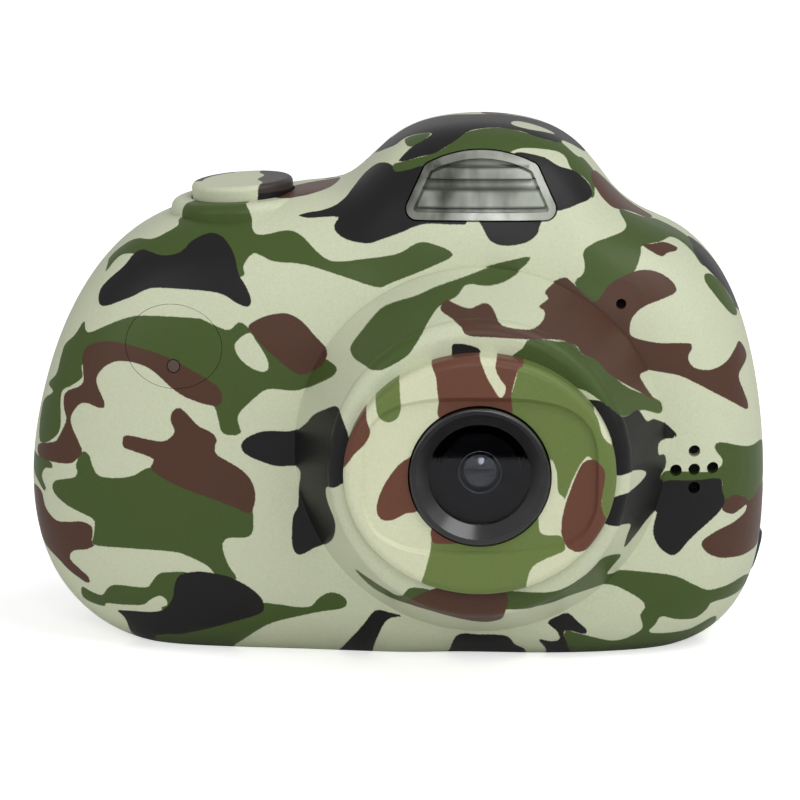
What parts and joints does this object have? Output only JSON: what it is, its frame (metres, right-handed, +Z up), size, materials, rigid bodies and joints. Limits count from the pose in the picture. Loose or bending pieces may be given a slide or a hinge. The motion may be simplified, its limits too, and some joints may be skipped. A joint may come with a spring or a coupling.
{
  "type": "toy digital camera",
  "caption": "Child's digital camera in a pillow-shaped two-part body with a lens on a cone, a flash in a hump, a shutter button, rear screen, rear keys and a hinged port cover.",
  "frame": {"origin": "middle of the flat base, on the surface that the camera stands on", "axes": "+Z up; the lens looks along -Y; +X is to the right of someone who faces the lens"},
  "size_m": [0.0944, 0.0477, 0.0675],
  "materials": {
    "shell_plastic": "satin, printed all over with a camouflage of greens, brown and near-black",
    "ring_plastic": "satin, printed with a larger camouflage of olive and reddish brown on cream",
    "black_gloss": "gloss black",
    "black_matte": "fine matt black",
    "lens_cover": "clear polished",
    "lens_glass": "clear polished",
    "sensor_dark": "smooth dark chip",
    "circuit_board": "green solder mask",
    "flex_film": "amber film",
    "flash_clear": "clear moulded plastic with prism bars",
    "reflector": "bright metallised",
    "lamp_yellow": "yellow phosphor",
    "light_pipe": "clear moulded plastic",
    "led_white": "white lamp body",
    "plain_metal": "plated steel",
    "foam": "black foam",
    "switch_black": "black moulding",
    "switch_red": "red moulding",
    "battery_foil": "silver laminated foil",
    "screen_cover": "clear polished",
    "lcd_dark": "unlit dark screen",
    "key_plastic": "satin black",
    "cover_rubber": "soft dark teal rubber"
  },
  "bodies": {
    "camera_body": {"front_shell": "shell_plastic", "rear_shell": "shell_plastic", "lens_ring": "ring_plastic", "lens_bezel": "black_gloss", "lens_window": "lens_cover", "lens_barrel": "black_matte", "front_lens_element": "lens_glass", "lens_holder": "black_matte", "image_sensor": "sensor_dark", "sensor_board": "circuit_board", "sensor_flex": "flex_film", "flash_lens": "flash_clear", "flash_reflector": "reflector", "flash_lamp": "lamp_yellow", "flash_board": "circuit_board", "indicator_disc": "shell_plastic", "indicator_light_pipe": "light_pipe", "indicator_led": "led_white", "microphone": "plain_metal", "speaker": "black_matte", "speaker_gasket": "foam", "shutter_switch": "switch_black", "shutter_board": "circuit_board", "main_board": "circuit_board", "battery": "battery_foil", "battery_pad": "foam", "usb_socket": "plain_metal", "card_socket": "plain_metal", "screen_window": "screen_cover", "lcd_panel": "lcd_dark", "lcd_frame": "plain_metal", "lcd_flex": "flex_film", "selfie_window": "screen_cover", "selfie_camera": "black_matte", "cover_tether": "cover_rubber", "key_switches": "switch_black", "screws": "plain_metal"},
    "shutter": {"shutter_button": "shell_plastic", "shutter_plunger": "switch_red"},
    "port_cover": {"port_cover": "cover_rubber"},
    "memory_card": {"memory_card": "black_matte"},
    "power_key": {"power_button": "key_plastic", "power_plunger": "switch_red"},
    "mode_key": {"mode_button": "key_plastic", "mode_plunger": "switch_red"},
    "play_key": {"play_button": "key_plastic", "play_plunger": "switch_red"},
    "right_key": {"right_button": "key_plastic", "right_plunger": "switch_red"},
    "up_key": {"up_button": "key_plastic", "up_plunger": "switch_red"},
    "left_key": {"left_button": "key_plastic", "left_plunger": "switch_red"},
    "down_key": {"down_button": "key_plastic", "down_plunger": "switch_red"},
    "ok_key": {"ok_button": "key_plastic", "ok_plunger": "switch_red"}
  },
  "joints": [
    {"name": "shutter_press", "type": "slide", "parent": "camera_body", "child": "shutter", "axis": [0.0698, 0, -0.9976], "range_m": [0, 0.0006], "stiffness_N_per_m": 600, "springref_m": -0.001},
    {"name": "power_press", "type": "slide", "parent": "camera_body", "child": "power_key", "axis": [0, -1, 0], "range_m": [0, 0.0005], "stiffness_N_per_m": 400, "springref_m": -0.001},
    {"name": "mode_press", "type": "slide", "parent": "camera_body", "child": "mode_key", "axis": [0, -1, 0], "range_m": [0, 0.0005], "stiffness_N_per_m": 400, "springref_m": -0.001},
    {"name": "play_press", "type": "slide", "parent": "camera_body", "child": "play_key", "axis": [0, -1, 0], "range_m": [0, 0.0005], "stiffness_N_per_m": 400, "springref_m": -0.001},
    {"name": "right_press", "type": "slide", "parent": "camera_body", "child": "right_key", "axis": [0, -1, 0], "range_m": [0, 0.0005], "stiffness_N_per_m": 400, "springref_m": -0.001},
    {"name": "up_press", "type": "slide", "parent": "camera_body", "child": "up_key", "axis": [0, -1, 0], "range_m": [0, 0.0005], "stiffness_N_per_m": 400, "springref_m": -0.001},
    {"name": "left_press", "type": "slide", "parent": "camera_body", "child": "left_key", "axis": [0, -1, 0], "range_m": [0, 0.0005], "stiffness_N_per_m": 400, "springref_m": -0.001},
    {"name": "down_press", "type": "slide", "parent": "camera_body", "child": "down_key", "axis": [0, -1, 0], "range_m": [0, 0.0005], "stiffness_N_per_m": 400, "springref_m": -0.001},
    {"name": "ok_press", "type": "slide", "parent": "camera_body", "child": "ok_key", "axis": [0, -1, 0], "range_m": [0, 0.0005], "stiffness_N_per_m": 400, "springref_m": -0.001},
    {"name": "cover_swing", "type": "hinge", "parent": "camera_body", "child": "port_cover", "pos_m": [0.0468, 0.0148, 0.03075], "axis": [0, -1, 0], "range_deg": [0, 100]},
    {"name": "card_slide", "type": "slide", "parent": "camera_body", "child": "memory_card", "axis": [1, 0, 0], "range_m": [-0.0006, 0.0025]}
  ]
}
